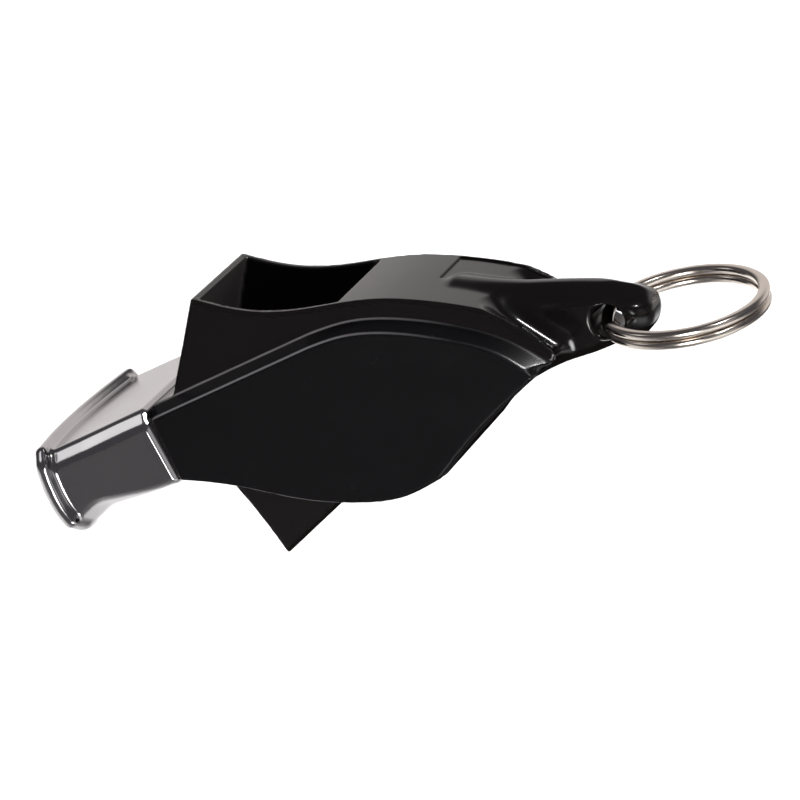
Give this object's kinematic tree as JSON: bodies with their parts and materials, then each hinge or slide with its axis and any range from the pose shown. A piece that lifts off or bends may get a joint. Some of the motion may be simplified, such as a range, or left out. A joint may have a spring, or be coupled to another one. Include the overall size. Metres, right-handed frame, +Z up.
{
  "type": "sports whistle",
  "caption": "Pealess sports whistle: black housing with an open sound window, a fin below and a lug behind, side covers, a plated mouthpiece sleeve and a split ring.",
  "frame": {"origin": "middle of the whole box in X and Y, ring included, at the level of its lowest point, the bottom of the lip", "axes": "+X from the mouthpiece towards the ring, +Y towards the left side of the person who blows it, +Z up with the sound window on top"},
  "size_m": [0.065, 0.0228, 0.0274],
  "materials": {
    "core_plastic": "glossy moulded black",
    "cover_plastic": "black, slightly duller than the core",
    "plated_sleeve": "bright silver plating",
    "nickel_wire": "bright nickel plating"
  },
  "bodies": {
    "housing": {"body_core": "core_plastic", "right_cover": "cover_plastic", "left_cover": "cover_plastic", "mouthpiece_sleeve": "plated_sleeve"},
    "ring": {"split_ring": "nickel_wire"}
  },
  "joints": [
    {"name": "ring_swing", "type": "hinge", "parent": "housing", "child": "ring", "pos_m": [0.01907, 0, 0.02375], "axis": [0, 1, 0], "range_deg": [-150, 130]}
  ]
}
